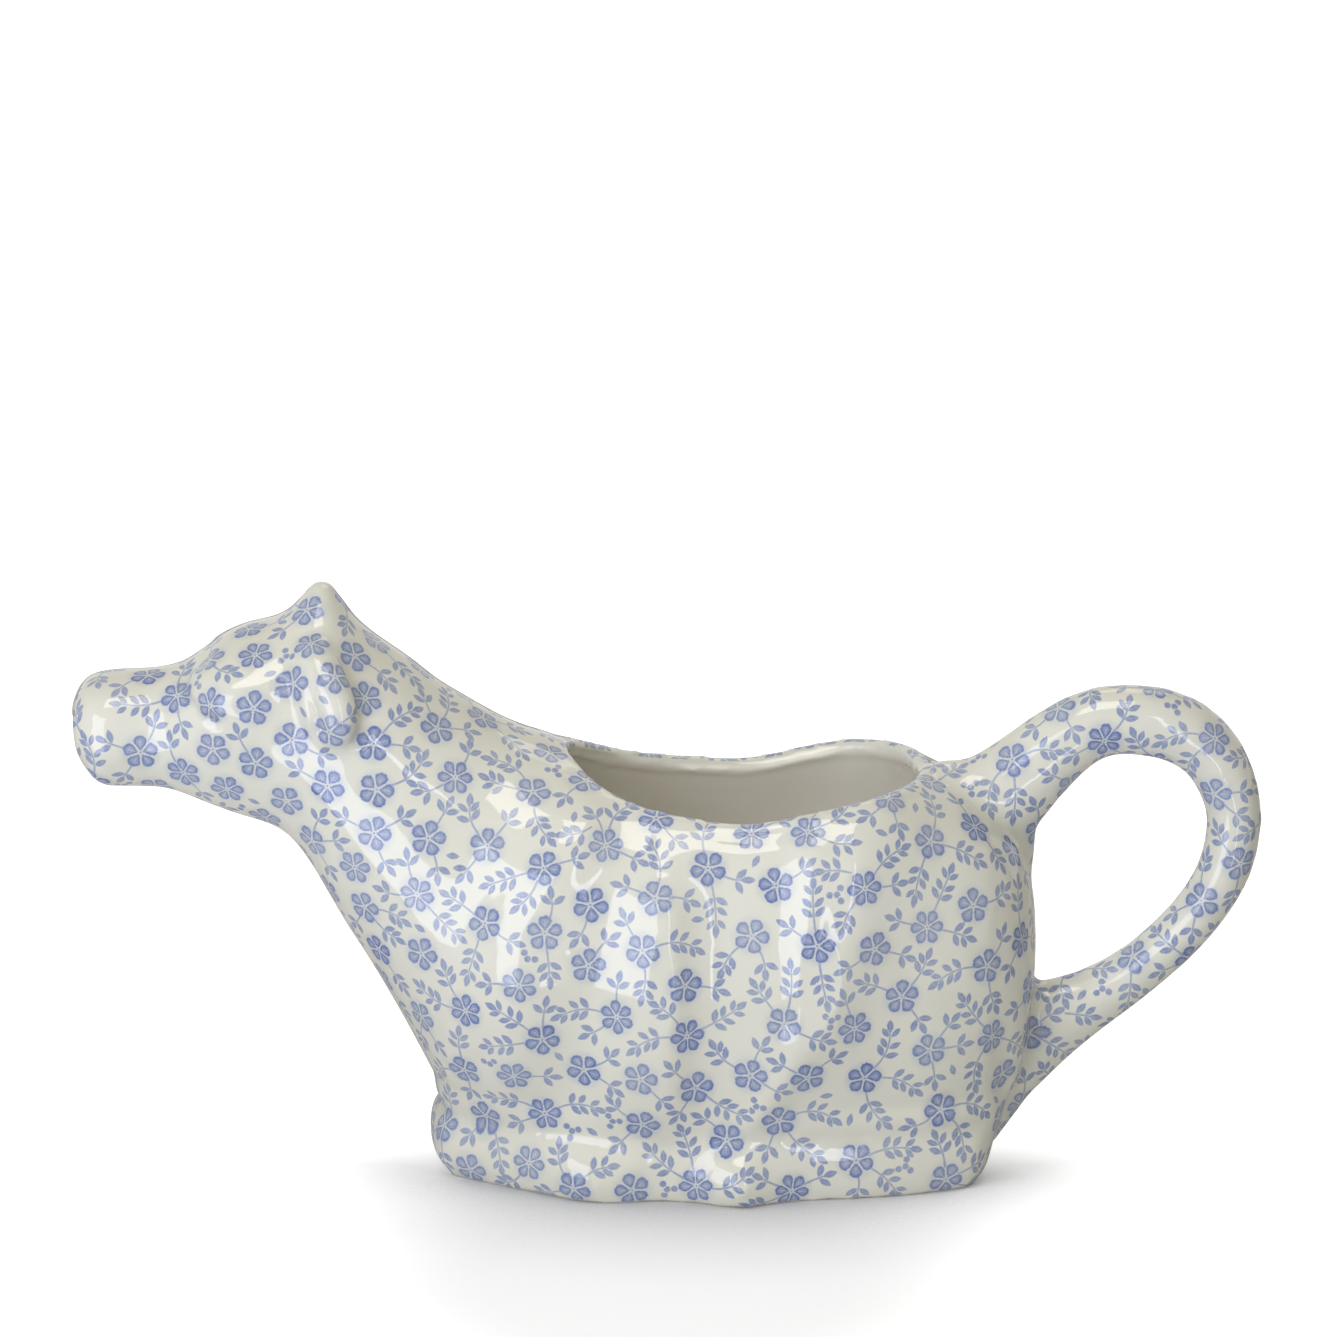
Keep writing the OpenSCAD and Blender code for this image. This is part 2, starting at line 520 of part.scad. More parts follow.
module ear_form() {
  n = len(ear_shares) - 1;
  loft([for (i = [0:ear_steps]) ear_ring(n * i / ear_steps)], false);
}
module ear_right() {
  color(glaze) difference() {
    ear_form();
    head_form();
    trunk_form();
  }
}
module ear_left() { mirror([0, 1, 0]) ear_right(); }

module body() { color(glaze) body_shell(); }
module head_spout() { color(glaze) head_shell(); }

body();
base();
head_spout();
tail_handle();
ear_left();
ear_right();
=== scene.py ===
# Looks of the cow creamer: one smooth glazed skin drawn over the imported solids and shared
# out among them, with a blue floral print outside and plain cream inside.
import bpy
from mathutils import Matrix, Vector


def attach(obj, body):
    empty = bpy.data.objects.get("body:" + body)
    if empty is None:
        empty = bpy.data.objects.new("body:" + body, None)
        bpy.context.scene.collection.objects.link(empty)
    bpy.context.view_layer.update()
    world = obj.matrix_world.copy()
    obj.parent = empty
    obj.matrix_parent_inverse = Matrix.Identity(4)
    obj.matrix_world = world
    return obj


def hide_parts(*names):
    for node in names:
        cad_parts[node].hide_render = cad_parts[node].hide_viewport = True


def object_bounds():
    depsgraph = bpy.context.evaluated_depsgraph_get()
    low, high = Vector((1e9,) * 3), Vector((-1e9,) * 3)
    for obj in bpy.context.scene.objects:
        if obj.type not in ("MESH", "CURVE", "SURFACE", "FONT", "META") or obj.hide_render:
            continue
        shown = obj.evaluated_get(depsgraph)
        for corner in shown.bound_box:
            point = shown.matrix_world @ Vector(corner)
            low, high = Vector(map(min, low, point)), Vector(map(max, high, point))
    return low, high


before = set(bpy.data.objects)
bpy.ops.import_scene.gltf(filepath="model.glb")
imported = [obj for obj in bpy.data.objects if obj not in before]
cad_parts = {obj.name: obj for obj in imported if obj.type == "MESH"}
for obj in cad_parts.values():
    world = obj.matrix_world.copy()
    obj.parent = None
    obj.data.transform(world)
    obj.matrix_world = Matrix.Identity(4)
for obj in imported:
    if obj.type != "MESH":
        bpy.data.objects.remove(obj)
cad_box = [list(map(float, c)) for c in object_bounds()]

import math

import bmesh
import bpy
import numpy as np
from mathutils import Vector
from mathutils.bvhtree import BVHTree
from mathutils.kdtree import KDTree

MM = 0.001
VOXEL = 0.9 * MM
SEED = 11
scene = bpy.context.scene

# The opening in the back seen from above, and the walls, as in the part's source
OPEN_FRONT, OPEN_BACK, OPEN_WIDEST, OPEN_HALF = -17.4 * MM, 43.3 * MM, 28.0 * MM, 21.4 * MM
FRONT_POWER, REAR_POWER = 2.5, 2.1
WALL = 3.2 * MM
# The pouring hole at the middle of the lips: the height of its middle and its half sizes
MOUTH_Z, MOUTH_HALF_W, MOUTH_HALF_H = 75.6 * MM, 6.6 * MM, 4.3 * MM
MOUTH_FROM = -94.0 * MM
# Clay that fills the corners where the tail leaves the rump and the plinth: ends and radius
FILLETS = [
    ((0.0568, 0, 0.0505), (0.0572, 0, 0.0595), 0.0050),
    ((0.0520, 0, 0.0060), (0.0630, 0, 0.0205), 0.0052),
]

# The middle of the plinth's length, in millimetres
PLINTH_X = 2
# Colours as the flank shows them, and the share of red, green and blue that full ink leaves
# The pooled colour darkens the hollows: part pooled glaze, part painted shade
CREAM, POOLED_AND_SHADED, PALE = (0.69, 0.69, 0.60, 1), (0.56, 0.56, 0.47, 1), (0.71, 0.71, 0.63, 1)
# The inside's colour is painted lighter and warmer than the outside's, painted light for the well
LIT_INSIDE, BARE = (0.97, 0.95, 0.88, 1), (0.62, 0.60, 0.53, 1)
INK = (0.223, 0.292, 0.67)
# The light from all round, and how white the table is to the camera in the shadow
SKY = (0.29, 0.277, 0.245, 1)
FLOOR_LIFT = 0.58
# The print, in millimetres: the least distances between flowers and between leaves
FLOWER_GAP, LEAF_GAP = 8.9, 1.5
# How far round its middle a flower, a leaf and a step of stem can reach
FLOWER_REACH, LEAF_REACH, STEM_REACH = 4.4, 2.2, 0.95
# How many times longer than wide the patch of a leaf and of a step of stem is
LEAF_SLENDER, STEM_SLENDER = 1.7, 0.91
# One step along a stem, and how far a stem may leave the printed clay
STEM_STEP, OFF_CLAY = 0.5 * MM, 2.2 * MM
NODES = list(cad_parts)


def mesh_object(name, points, faces):
    mesh = bpy.data.meshes.new(name)
    mesh.from_pydata([tuple(p) for p in points], [], [tuple(f) for f in faces])
    mesh.update()
    ob = bpy.data.objects.new(name, mesh)
    scene.collection.objects.link(ob)
    return ob


def coords(mesh):
    co = np.empty(len(mesh.vertices) * 3, np.float32)
    mesh.vertices.foreach_get("co", co)
    return co.reshape(-1, 3).astype(float)


def set_coords(mesh, co):
    mesh.vertices.foreach_set("co", np.asarray(co, np.float32).ravel())
    mesh.update()


def edges_of(mesh):
    e = np.empty(len(mesh.edges) * 2, np.int32)
    mesh.edges.foreach_get("vertices", e)
    return e.reshape(-1, 2)


def normals_of(mesh):
    n = np.empty(len(mesh.vertices) * 3, np.float32)
    mesh.vertex_normals.foreach_get("vector", n)
    return n.reshape(-1, 3).astype(float)


def unit(v):
    return v / (np.linalg.norm(v, axis=-1, keepdims=True) + 1e-12)


def fade(d, full, none):
    """Goes smoothly from 1 at full to 0 at none."""
    t = np.clip((none - d) / (none - full), 0, 1)
    return t * t * (3 - 2 * t)


def tree_of(points):
    tree = KDTree(len(points))
    for i, p in enumerate(points):
        tree.insert(p, i)
    tree.balance()
    return tree


def nearest(tree, points, within=None):
    """Index of and distance to the nearest point of the tree, where the mask within holds."""
    index, distance = np.zeros(len(points), int), np.full(len(points), 1.0)
    for i in range(len(points)) if within is None else np.nonzero(within)[0]:
        _, index[i], distance[i] = tree.find(points[i])
    return index, distance


class Ring:
    """Averages over the neighbours of each point of a mesh."""

    def __init__(self, mesh):
        e = edges_of(mesh)
        self.a = np.concatenate([e[:, 0], e[:, 1]])
        self.b = np.concatenate([e[:, 1], e[:, 0]])
        self.n = len(mesh.vertices)
        self.count = np.maximum(1, np.bincount(self.a, minlength=self.n))

    def mean(self, values):
        v = np.asarray(values, float)
        if v.ndim == 1:
            return np.bincount(self.a, v[self.b], self.n) / self.count
        columns = [np.bincount(self.a, v[self.b, k], self.n) / self.count for k in range(v.shape[1])]
        return np.stack(columns, 1)

    def smooth(self, co, rounds, back, weight=None):
        """Evens out small waves; the step back keeps larger forms at their size."""
        w = 1.0 if weight is None else weight[:, None]
        for _ in range(rounds):
            co = co + 0.6 * w * (self.mean(co) - co)
            co = co - back * w * (self.mean(co) - co)
        return co

    def spread(self, values, rounds):
        for _ in range(rounds):
            values = 0.5 * values + 0.5 * self.mean(values)
        return values


def solid_tree(node):
    """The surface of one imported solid, for finding places on it."""
    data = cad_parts[node].data
    return BVHTree.FromPolygons([v.co for v in data.vertices], [p.vertices for p in data.polygons])


def rim_line(count=240, beside=1.2 * MM):
    """The middle line of the rounded rim, and the directions out of the wall along it."""
    turn = np.linspace(0, 2 * math.pi, 4000, endpoint=False)
    c, s = np.cos(turn), np.sin(turn)
    reach = np.where(c > 0, OPEN_BACK - OPEN_WIDEST, OPEN_WIDEST - OPEN_FRONT)
    power = np.where(c > 0, REAR_POWER, FRONT_POWER)
    plan = np.stack([OPEN_WIDEST + reach * np.sign(c) * np.abs(c) ** (2 / power),
                     OPEN_HALF * np.sign(s) * np.abs(s) ** (2 / power)], 1)
    plan = np.vstack([plan, plan[:1]])
    along = np.concatenate([[0], np.cumsum(np.linalg.norm(np.diff(plan, axis=0), axis=1))])
    places = np.linspace(0, along[-1], count, endpoint=False)
    plan = np.stack([np.interp(places, along, plan[:, k]) for k in (0, 1)], 1)
    ahead = np.roll(plan, -1, 0) - np.roll(plan, 1, 0)
    aside = unit(np.stack([ahead[:, 1], -ahead[:, 0]], 1))
    body = solid_tree("body")
    line, up = [], []
    for p, a in zip(plan, aside):
        above = (p[0] + a[0] * beside, p[1] + a[1] * beside, 0.2)
        hit, normal, _, _ = body.ray_cast(above, (0, 0, -1))
        normal = np.array(normal)
        level = unit(np.array([a[0], a[1], 0]) - normal * np.dot(normal[:2], a))
        edge = np.array(hit) - level * beside / max(0.3, np.linalg.norm(level[:2]))
        line.append(edge - normal * WALL / 2 + level * 0.7 * MM)
        up.append(normal)
    line, up = np.array(line), np.array(up)
    for _ in range(40):
        line = 0.5 * line + 0.25 * (np.roll(line, 1, 0) + np.roll(line, -1, 0))
        up = 0.5 * up + 0.25 * (np.roll(up, 1, 0) + np.roll(up, -1, 0))
    return line, unit(up)


def bead(line, radius, sides=14):
    """A closed round bar along a closed line."""
    ahead = unit(np.roll(line, -1, 0) - np.roll(line, 1, 0))
    side = unit(np.cross(ahead, [0, 0, 1]))
    up = np.cross(side, ahead)
    turn = np.arange(sides) * 2 * math.pi / sides
    c, s = np.cos(turn)[None, :, None], np.sin(turn)[None, :, None]
    rings = line[:, None] + radius * (c * side[:, None] + s * up[:, None])
    faces = []
    for i in range(len(line)):
        here, there = i * sides, (i + 1) % len(line) * sides
        for k in range(sides):
            after = (k + 1) % sides
            faces.append([here + k, there + k, there + after, here + after])
    return rings.reshape(-1, 3), faces


def capsule(low, high, radius, around=16):
    """A bar with round ends."""
    turn = np.arange(around) * 2 * math.pi / around
    tilt = np.linspace(-math.pi / 2, math.pi / 2, 9)
    points, faces = [], []
    for k, t in enumerate(tilt):
        end = np.array(low if t < 0 else high)
        wide = math.cos(t)
        rim = np.stack([np.cos(turn) * wide, np.sin(turn) * wide, np.full(around, math.sin(t))], 1)
        points += list(end + radius * rim)
        if k:
            a, b = (k - 1) * around, k * around
            faces += [[a + i, a + (i + 1) % around, b + (i + 1) % around, b + i] for i in range(around)]
    return np.array(points), faces


def joined_skin(line):
    """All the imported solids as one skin, with a round bar on the rim and fillets at the tail."""
    points, faces = [], []
    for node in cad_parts.values():
        start = len(points)
        points += [v.co.copy() for v in node.data.vertices]
        faces += [[start + i for i in p.vertices] for p in node.data.polygons]
    points = np.array(points)
    # The faceted rim is drawn into the bar, which hides it
    index, far = nearest(tree_of(line), points)
    pulled = far < 2.4 * MM
    points[pulled] += 0.35 * (line[index[pulled]] - points[pulled])
    for more, more_faces in [bead(line, WALL / 2)] + [capsule(*f) for f in FILLETS]:
        faces += [[len(points) + i for i in f] for f in more_faces]
        points = np.vstack([points, more])
    ob = mesh_object("creamer_skin", points, faces)
    bm = bmesh.new()
    bm.from_mesh(ob.data)
    bmesh.ops.remove_doubles(bm, verts=bm.verts, dist=1e-7)
    bm.to_mesh(ob.data)
    bm.free()
    remesh = ob.modifiers.new("remesh", "REMESH")
    remesh.mode = "VOXEL"
    remesh.voxel_size = VOXEL
    remesh.adaptivity = 0
    ob.data = evaluated(ob)
    return ob


def evaluated(ob):
    """The object's mesh with its modifiers applied, which are then removed."""
    graph = bpy.context.evaluated_depsgraph_get()
    solved = ob.evaluated_get(graph)
    mesh = bpy.data.meshes.new_from_object(solved, preserve_all_data_layers=True, depsgraph=graph)
    ob.modifiers.clear()
    return mesh


def evened(co, ring, line):
    """The skin without voxel steps and facets, with the rim, ears, poll, lips and foot kept crisp."""
    _, rim_far = nearest(tree_of(line), co)
    ears = np.vstack([coords(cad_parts[n].data) for n in ("ear_left", "ear_right")])
    low, high = ears.min(0) - 4 * MM, ears.max(0) + 4 * MM
    _, ear_far = nearest(tree_of(ears), co, ((co > low) & (co < high)).all(1))
    tip = co[np.argmax(co[:, 2])]
    poll_far = np.linalg.norm(co - tip, axis=1)
    keep = np.maximum.reduce([
        fade(rim_far, 3.5 * MM, 6 * MM), 0.9 * fade(ear_far, 1.0 * MM, 3.5 * MM),
        0.85 * fade(poll_far, 4 * MM, 9 * MM), 0.9 * fade(co[:, 0] + 0.1, 5 * MM, 9 * MM),
        fade(co[:, 2], 2 * MM, 4.5 * MM)])
    co = ring.smooth(co, 12, 0.66)
    keep = ring.spread(keep, 2)
    co = ring.smooth(co, 45, 0.62, 1 - keep)
    # The neck is one even sweep from the ears to the shoulders
    neck = fade(-co[:, 0], 50 * MM, 62 * MM) * fade(co[:, 0], -22 * MM, -12 * MM)
    neck = neck * fade(-co[:, 2], -62 * MM, -52 * MM)
    co = ring.smooth(co, 70, 0.61, neck * (1 - keep))
    # The poll gets back the height that smoothing takes
    lift = cad_box[1][2] - 0.05 * MM - co[:, 2].max()
    co[:, 2] += lift * np.exp(-(np.linalg.norm(co - tip, axis=1) / (4.5 * MM)) ** 2)
    return co


def squared(co):
    """The plinth with fuller corners and a longer front end, as the photograph shows them."""
    x, y, z = co.T
    low = fade(z, 12 * MM, 17 * MM)
    middle = PLINTH_X * MM
    u, v = (x - middle) / (42 * MM), y / (27 * MM)
    corner = 4 * u * u * v * v / np.maximum(0.2, (u * u + v * v) ** 2)
    wider = 1 + 0.055 * low * corner
    front = 1.2 * MM * low * fade(x, -32 * MM, -10 * MM)
    return np.stack([middle + (x - middle) * wider - front, y * wider, z], 1)


def outward_of(co, line, up):
    """How far outside the wall's middle a point near the rim or lips lies; elsewhere NaN."""
    low, high = line.min(0) - 5 * MM, line.max(0) + 5 * MM
    index, far = nearest(tree_of(line), co, ((co > low) & (co < high)).all(1))
    side = np.where(far < 4.5 * MM, np.einsum("ij,ij->i", co - line[index], up[index]), np.nan)
    lips = np.hypot(co[:, 1] / MOUTH_HALF_W, (co[:, 2] - MOUTH_Z) / MOUTH_HALF_H)
    return np.where(co[:, 0] < MOUTH_FROM, (lips - 1) * MOUTH_HALF_H, side)


def flooded(mesh, side, seed):
    """The points that a flood from the seed reaches without crossing the rim or the lips."""
    e = edges_of(mesh)
    s = np.sign(np.nan_to_num(side))
    e = e[s[e[:, 0]] * s[e[:, 1]] >= 0]
    found = np.zeros(len(mesh.vertices), bool)
    found[seed] = True
    while True:
        grow = found[e[:, 0]] != found[e[:, 1]]
        if not grow.any():
            return found
        found[e[grow].ravel()] = True


line, up = rim_line()
skin = joined_skin(line)
ring = Ring(skin.data)
co = squared(evened(coords(skin.data), ring, line))
set_coords(skin.data, co)
side = outward_of(co, line, up)
well_floor = np.array([16.0, 0, 14.6]) * MM
inner = flooded(skin.data, side, int(np.argmin(np.linalg.norm(co - well_floor, axis=1))))


def set_owners(mesh, co):
    """Each face goes to the node whose solid is nearest, as its material number."""
    trees = [solid_tree(node) for node in NODES]
    far = np.array([[tree.find_nearest(p)[3] for tree in trees] for p in co])
    faces = np.empty(len(mesh.polygons) * 4, np.int32)
    mesh.polygons.foreach_get("vertices", faces)
    far = far[faces.reshape(-1, 4)].mean(1)
    mesh.materials.clear()
    for node in NODES:
        mesh.materials.append(bpy.data.materials.new(node))
    mesh.polygons.foreach_set("material_index", np.argmin(far, 1).astype(np.int32))


def store(mesh, name, values):
    a = mesh.attributes.new(name, "FLOAT", "POINT")
    a.data.foreach_set("value", np.asarray(values, np.float32))


def stored(mesh, name):
    values = np.empty(len(mesh.vertices), np.float32)
    mesh.attributes[name].data.foreach_get("value", values)
    return values.astype(float)


store(skin.data, "inner", inner)
set_owners(skin.data, co)
sub = skin.modifiers.new("finer", "SUBSURF")
sub.levels = sub.render_levels = 1
skin.data = evaluated(skin)

# The relief. Ridges on both flanks, in millimetres: strength, reach forward, reach back,
# and points (x, z) of the crest from the top down
RIDGES = [
    (1.2, 9.0, 4.0, [(-12.5, 68), (-19, 56), (-25, 47), (-27, 30), (-27.5, 16)]),  # foreleg
    (1.0, 9.0, 4.5, [(-1.5, 56), (-0.6, 50), (-0.4, 30), (-1, 14)]),  # ribs
    (0.75, 2.6, 3.0, [(23.8, 66), (23.4, 49), (24.5, 36), (20, 24), (12.5, 12)]),  # stifle
    (0.8, 3.5, 5.0, [(31.5, 63), (31, 50), (28.5, 40), (26, 26)]),  # hip
]
# Toes and other small swellings of the plinth: x, z, radius, strength
TOES = [
    (-16.3, 5.4, 4.2, 0.5),
    (-5.0, 8.3, 3.0, 0.4),
    (11.5, 6.0, 4.2, 0.7),
    (-35, 6.5, 4.5, 0.5),
    (49, 6, 5, 0.4),
]
# The middle of the eye, the crease in front of it, the groove of the ear and its thick back edge
EYE = (-76.0, 85.2)
EYE_CREASE = [(-77.6, 89.0), (-80.2, 87.2), (-81.0, 85.4), (-80.2, 83.4), (-78.0, 81.6), (-75.2, 80.6)]
EAR_GROOVE = [(-60.0, 12.0, 90.2), (-59.2, 16.2, 86.6), (-58.4, 18.4, 82.8), (-58.0, 18.4, 79.4)]
EAR_BACK = [(-57.4, 10.0, 91.5), (-55.6, 14.9, 87.0), (-54.0, 17.6, 82.6), (-53.6, 17.6, 78.4)]


def bell(d):
    """A smooth bump, 1 at nothing and falling to both sides."""
    return np.exp(-d * d)


def ridge(x, z, strength, front, back, crest):
    """Height of one ridge at x and z, with a shallow groove behind it."""
    top, foot = crest[0][1], crest[-1][1]
    line_x = np.interp(-z, [-p[1] for p in crest], [p[0] for p in crest])
    d = x - line_x
    groove = 0.2 * bell((d - 2.4 * back) / (1.3 * back))
    rise = np.where(d < 0, bell(d / front), bell(d / back)) - groove
    ends = fade(z, top - 5, top + 4) * fade(-z, -foot - 4, -foot + 5)
    return strength * rise * ends


def to_path(points, path, per=24):
    """Distance from points to a path through the given points."""
    path = np.array(path, float)
    t = np.linspace(0, len(path) - 1, per)
    path = np.stack([np.interp(t, range(len(path)), path[:, k]) for k in range(path.shape[1])], 1)
    return np.min(np.linalg.norm(points[:, None] - path[None], axis=2), axis=1)


mesh = skin.data
fine = Ring(mesh)
co, normal = coords(mesh), normals_of(mesh)
side = outward_of(co, line, up)
outer = np.where(np.isnan(side), stored(mesh, "inner") < 0.5, side > 0)
x, y, z = (co / MM).T
# The hollow under the foot is plain
inwards = normal[:, 0] * (x - PLINTH_X) + normal[:, 1] * y < 0
hollow = (z < 8.5) & (inwards | (normal[:, 2] < -0.8)) & (np.hypot(x - PLINTH_X, y) < 45)
outer &= ~hollow
flank = outer * fade(-np.abs(normal[:, 1]), -0.75, -0.3)
lift = sum(ridge(x, z, *r) for r in RIDGES)
lift = lift + sum(a * bell(np.hypot(x - tx, z - tz) / r) for tx, tz, r, a in TOES)
lift = lift * flank * fade(-x, 40, 50)
head = np.nonzero(outer & (x < -50) & (z > 60))[0]
crease = to_path((co[head] / MM)[:, [0, 2]], EYE_CREASE)
cheek = fade(-np.abs(y[head]), -5, -2)
lift[head] -= 0.9 * bell(crease) * cheek
eyeball = np.hypot(x[head] - EYE[0], z[head] - EYE[1]) - 1.5
lift[head] += 0.5 * bell(eyeball / 2.6) * cheek
mirrored = np.stack([x[head], np.abs(y[head]), z[head]], 1)
groove = to_path(mirrored, EAR_GROOVE)
lift[head] += 0.9 * bell(to_path(mirrored, EAR_BACK) / 2.4)
lift[head] -= 1.3 * bell(groove / 1.3)
co = co + normal * lift[:, None] * MM
rim_weight = np.where(np.isnan(side), 0.35, 0.6)
co = co + rim_weight[:, None] * (fine.mean(co) - co)
low, high = np.array(cad_box)
co = np.clip(co, low + 0.02 * MM, high - 0.02 * MM)
co[:, 2] = np.where(co[:, 2] < 0.25 * MM, 0.0, co[:, 2])
set_coords(mesh, co)
edge = np.where(np.isnan(side), np.where(outer, 5.0, -5.0), side / MM)
normal = normals_of(mesh)
# How hollow the skin is, which darkens the glaze there: part pooled glaze, part painted shade
pool = 4 * fine.spread(np.einsum("ij,ij->i", fine.mean(co) - co, normal) / MM, 8)

# The print is laid on the faces of the outside
quads = np.empty(len(mesh.polygons) * 4, np.int32)
mesh.polygons.foreach_get("vertices", quads)
quads = quads.reshape(-1, 4)
owner = np.empty(len(mesh.polygons), np.int32)
mesh.polygons.foreach_get("material_index", owner)
points = coords(mesh)
centres = points[quads].mean(1)
face_normals = unit(normal[quads].mean(1))
under = (face_normals[:, 2] < -0.8) & (centres[:, 2] < 8 * MM)
printed = (edge[quads].max(1) > 0.0) & ~under
tree = KDTree(int(printed.sum()))
for i in np.nonzero(printed)[0]:
    tree.insert(centres[i], int(i))
tree.balance()
rng = np.random.default_rng(SEED)


class Layer:
    """Gives the faces round each motif of one kind their own flat coordinates, in millimetres."""

    def __init__(self):
        self.values = np.tile(np.float32([99, 99, 1]), (len(quads), 4, 1))
        self.best = np.full(len(quads), 1e9)

    def lay(self, at, along, normal, reach, slender, third):
        across = np.cross(normal, along)
        near = np.array([i for _, i, _ in tree.find_range(at, reach * MM)], int)
        if not len(near):
            return
        near = near[face_normals[near] @ normal > 0.1]
        rel = (centres[near] - at) / MM
        how = (rel @ along / slender) ** 2 + (rel @ across) ** 2
        nearer = how < self.best[near]
        near = near[nearer]
        self.best[near] = how[nearer]
        corner = (points[quads[near]] - at) / MM
        self.values[near, :, 0] = corner @ along
        self.values[near, :, 1] = corner @ across
        self.values[near, :, 2] = third


def scattered(pool, gap, kept=(), tries=26000):
    """Faces at least gap millimetres apart, and from those kept already."""
    kept = list(kept)
    at = centres[kept].reshape(-1, 3)
    for i in rng.permutation(pool)[:tries]:
        if len(kept) and np.linalg.norm(at - centres[i], axis=1).min() < gap * MM:
            continue
        kept.append(int(i))
        at = np.vstack([at, centres[i]])
    return kept


def tangent(i, turn):
    """A direction in the plane of face i, turned from the level."""
    n = face_normals[i]
    a = unit(np.cross(n, [0, 0, 1.0] if abs(n[2]) < 0.9 else [1.0, 0, 0]))
    return math.cos(turn) * a + math.sin(turn) * np.cross(n, a)


def landed(p):
    """The printed face nearest to a point, and how far it is."""
    _, i, d = tree.find(p)
    return i, d


blooms, leaves, stems = Layer(), Layer(), Layer()
# The clay's outside and the middle of the rim's crest are printed, 2 mm above the foot
room = np.nonzero(printed & (edge[quads].min(1) > 1.2) & (centres[:, 2] > 2.2 * MM))[0]
# The print is closer on the head
flowers = scattered(room, FLOWER_GAP, scattered(room[centres[room, 0] < -48 * MM], 0.82 * FLOWER_GAP))
flower_tree = tree_of(centres[flowers])
for i in flowers:
    kind = rng.choice([5, 5, 6]) + rng.uniform(0, 0.9)
    along = tangent(i, rng.uniform(0, 2 * math.pi))
    blooms.lay(centres[i], along, face_normals[i], FLOWER_REACH, 1.0, kind)
used = [np.array([0, 0, -1.0])]  # where leaves and berries are


def free(p, from_leaves, from_flowers):
    """True where a point is that many millimetres from every leaf and flower."""
    if flower_tree.find(p)[2] < from_flowers * MM:
        return False
    return np.linalg.norm(np.asarray(used) - p, axis=1).min() > from_leaves * MM


def grow(start, heading, length, curl, pairs, lead):
    """A curved stem with pairs of leaves and one at its end, or None where it has no room."""
    p, h = start.copy(), unit(heading)
    path = [p.copy()]
    frames = []
    for _ in range(int(length * MM / STEM_STEP)):
        ahead = p + h * STEM_STEP
        i, far = landed(ahead)
        if far > OFF_CLAY:
            return None
        n = face_normals[i]
        p = ahead - n * np.dot(ahead - centres[i], n)
        h = unit(h - n * np.dot(h, n))
        frames.append((p, h, n))
        path.append(p)
        h = math.cos(curl) * h + math.sin(curl) * np.cross(n, h)
    # The last leaf sits on the tip, and the pairs stand out from the stem at both sides
    marks = [(frames[-1][0] + frames[-1][1] * 1.15 * MM, frames[-1][1], 1.05)]
    places = np.linspace(lead * MM / STEM_STEP, len(frames) - 3, pairs).astype(int)
    for order, k in enumerate(places):
        q, d, n = frames[k]
        spread = math.radians(52 - 6 * order)
        for sign in (1, -1):
            way = math.cos(spread) * d + sign * math.sin(spread) * np.cross(n, d)
            marks.append((q + way * 1.42 * MM, way, 1.0 - 0.07 * order))
    for at, _, _ in marks:
        if not free(at, LEAF_GAP, 4.2) or landed(at)[1] > 1.2 * MM:
            return None
    return path, marks


def draw(path, marks, half=0.17):
    """Lays a stem, which thins towards its tip, and its leaves."""
    for k in range(len(path) - 1):
        middle = (path[k] + path[k + 1]) / 2
        n = face_normals[landed(middle)[0]]
        width = half * (1 - 0.35 * k / len(path))
        stems.lay(middle, unit(path[k + 1] - path[k]), n, STEM_REACH, STEM_SLENDER, width)
    for at, way, size in marks:
        used.append(at)
        i, _ = landed(at)
        n = face_normals[i]
        flat_at = at - n * np.dot(at - centres[i], n)
        flat_way = unit(way - n * np.dot(way, n))
        leaves.lay(flat_at, flat_way, n, LEAF_REACH, LEAF_SLENDER, size)


for i in flowers:
    made = 0
    for turn in rng.permutation(14) * 2 * math.pi / 14 + rng.uniform(0, 1):
        t = tangent(i, turn)
        for length, pairs in ((6.6, 3), (4.9, 2), (3.3, 1)):
            sprig = grow(centres[i] + t * 2.9 * MM, t, length, rng.uniform(-0.09, 0.09), pairs, 1.5)
            if sprig:
                draw(*sprig)
                made += 1
                break
        if made == 3:
            break

# Sprigs, single leaves and berries where room is left
for i in scattered(room, 3.0):
    p, n = centres[i], face_normals[i]
    t = tangent(i, rng.uniform(0, 2 * math.pi))
    if not free(p, 2.2, 4.4):
        continue
    sprig = grow(p - t * 1.7 * MM, t, 3.6, rng.uniform(-0.12, 0.12), 2, 0.7)
    if sprig:
        draw(*sprig)
    elif rng.uniform() < 0.5:
        used.append(p)
        leaves.lay(p, t, n, 1.9, LEAF_SLENDER, 0.95)
    else:
        for turn in (0, 0.9, 3.0, 5.1):
            q = p + (turn > 0) * 1.2 * MM * (math.cos(turn) * t + math.sin(turn) * np.cross(n, t))
            if free(q, 1.0, 3.8):
                used.append(q)
                leaves.lay(q, t, n, 1.2, 1.0, -1.0)


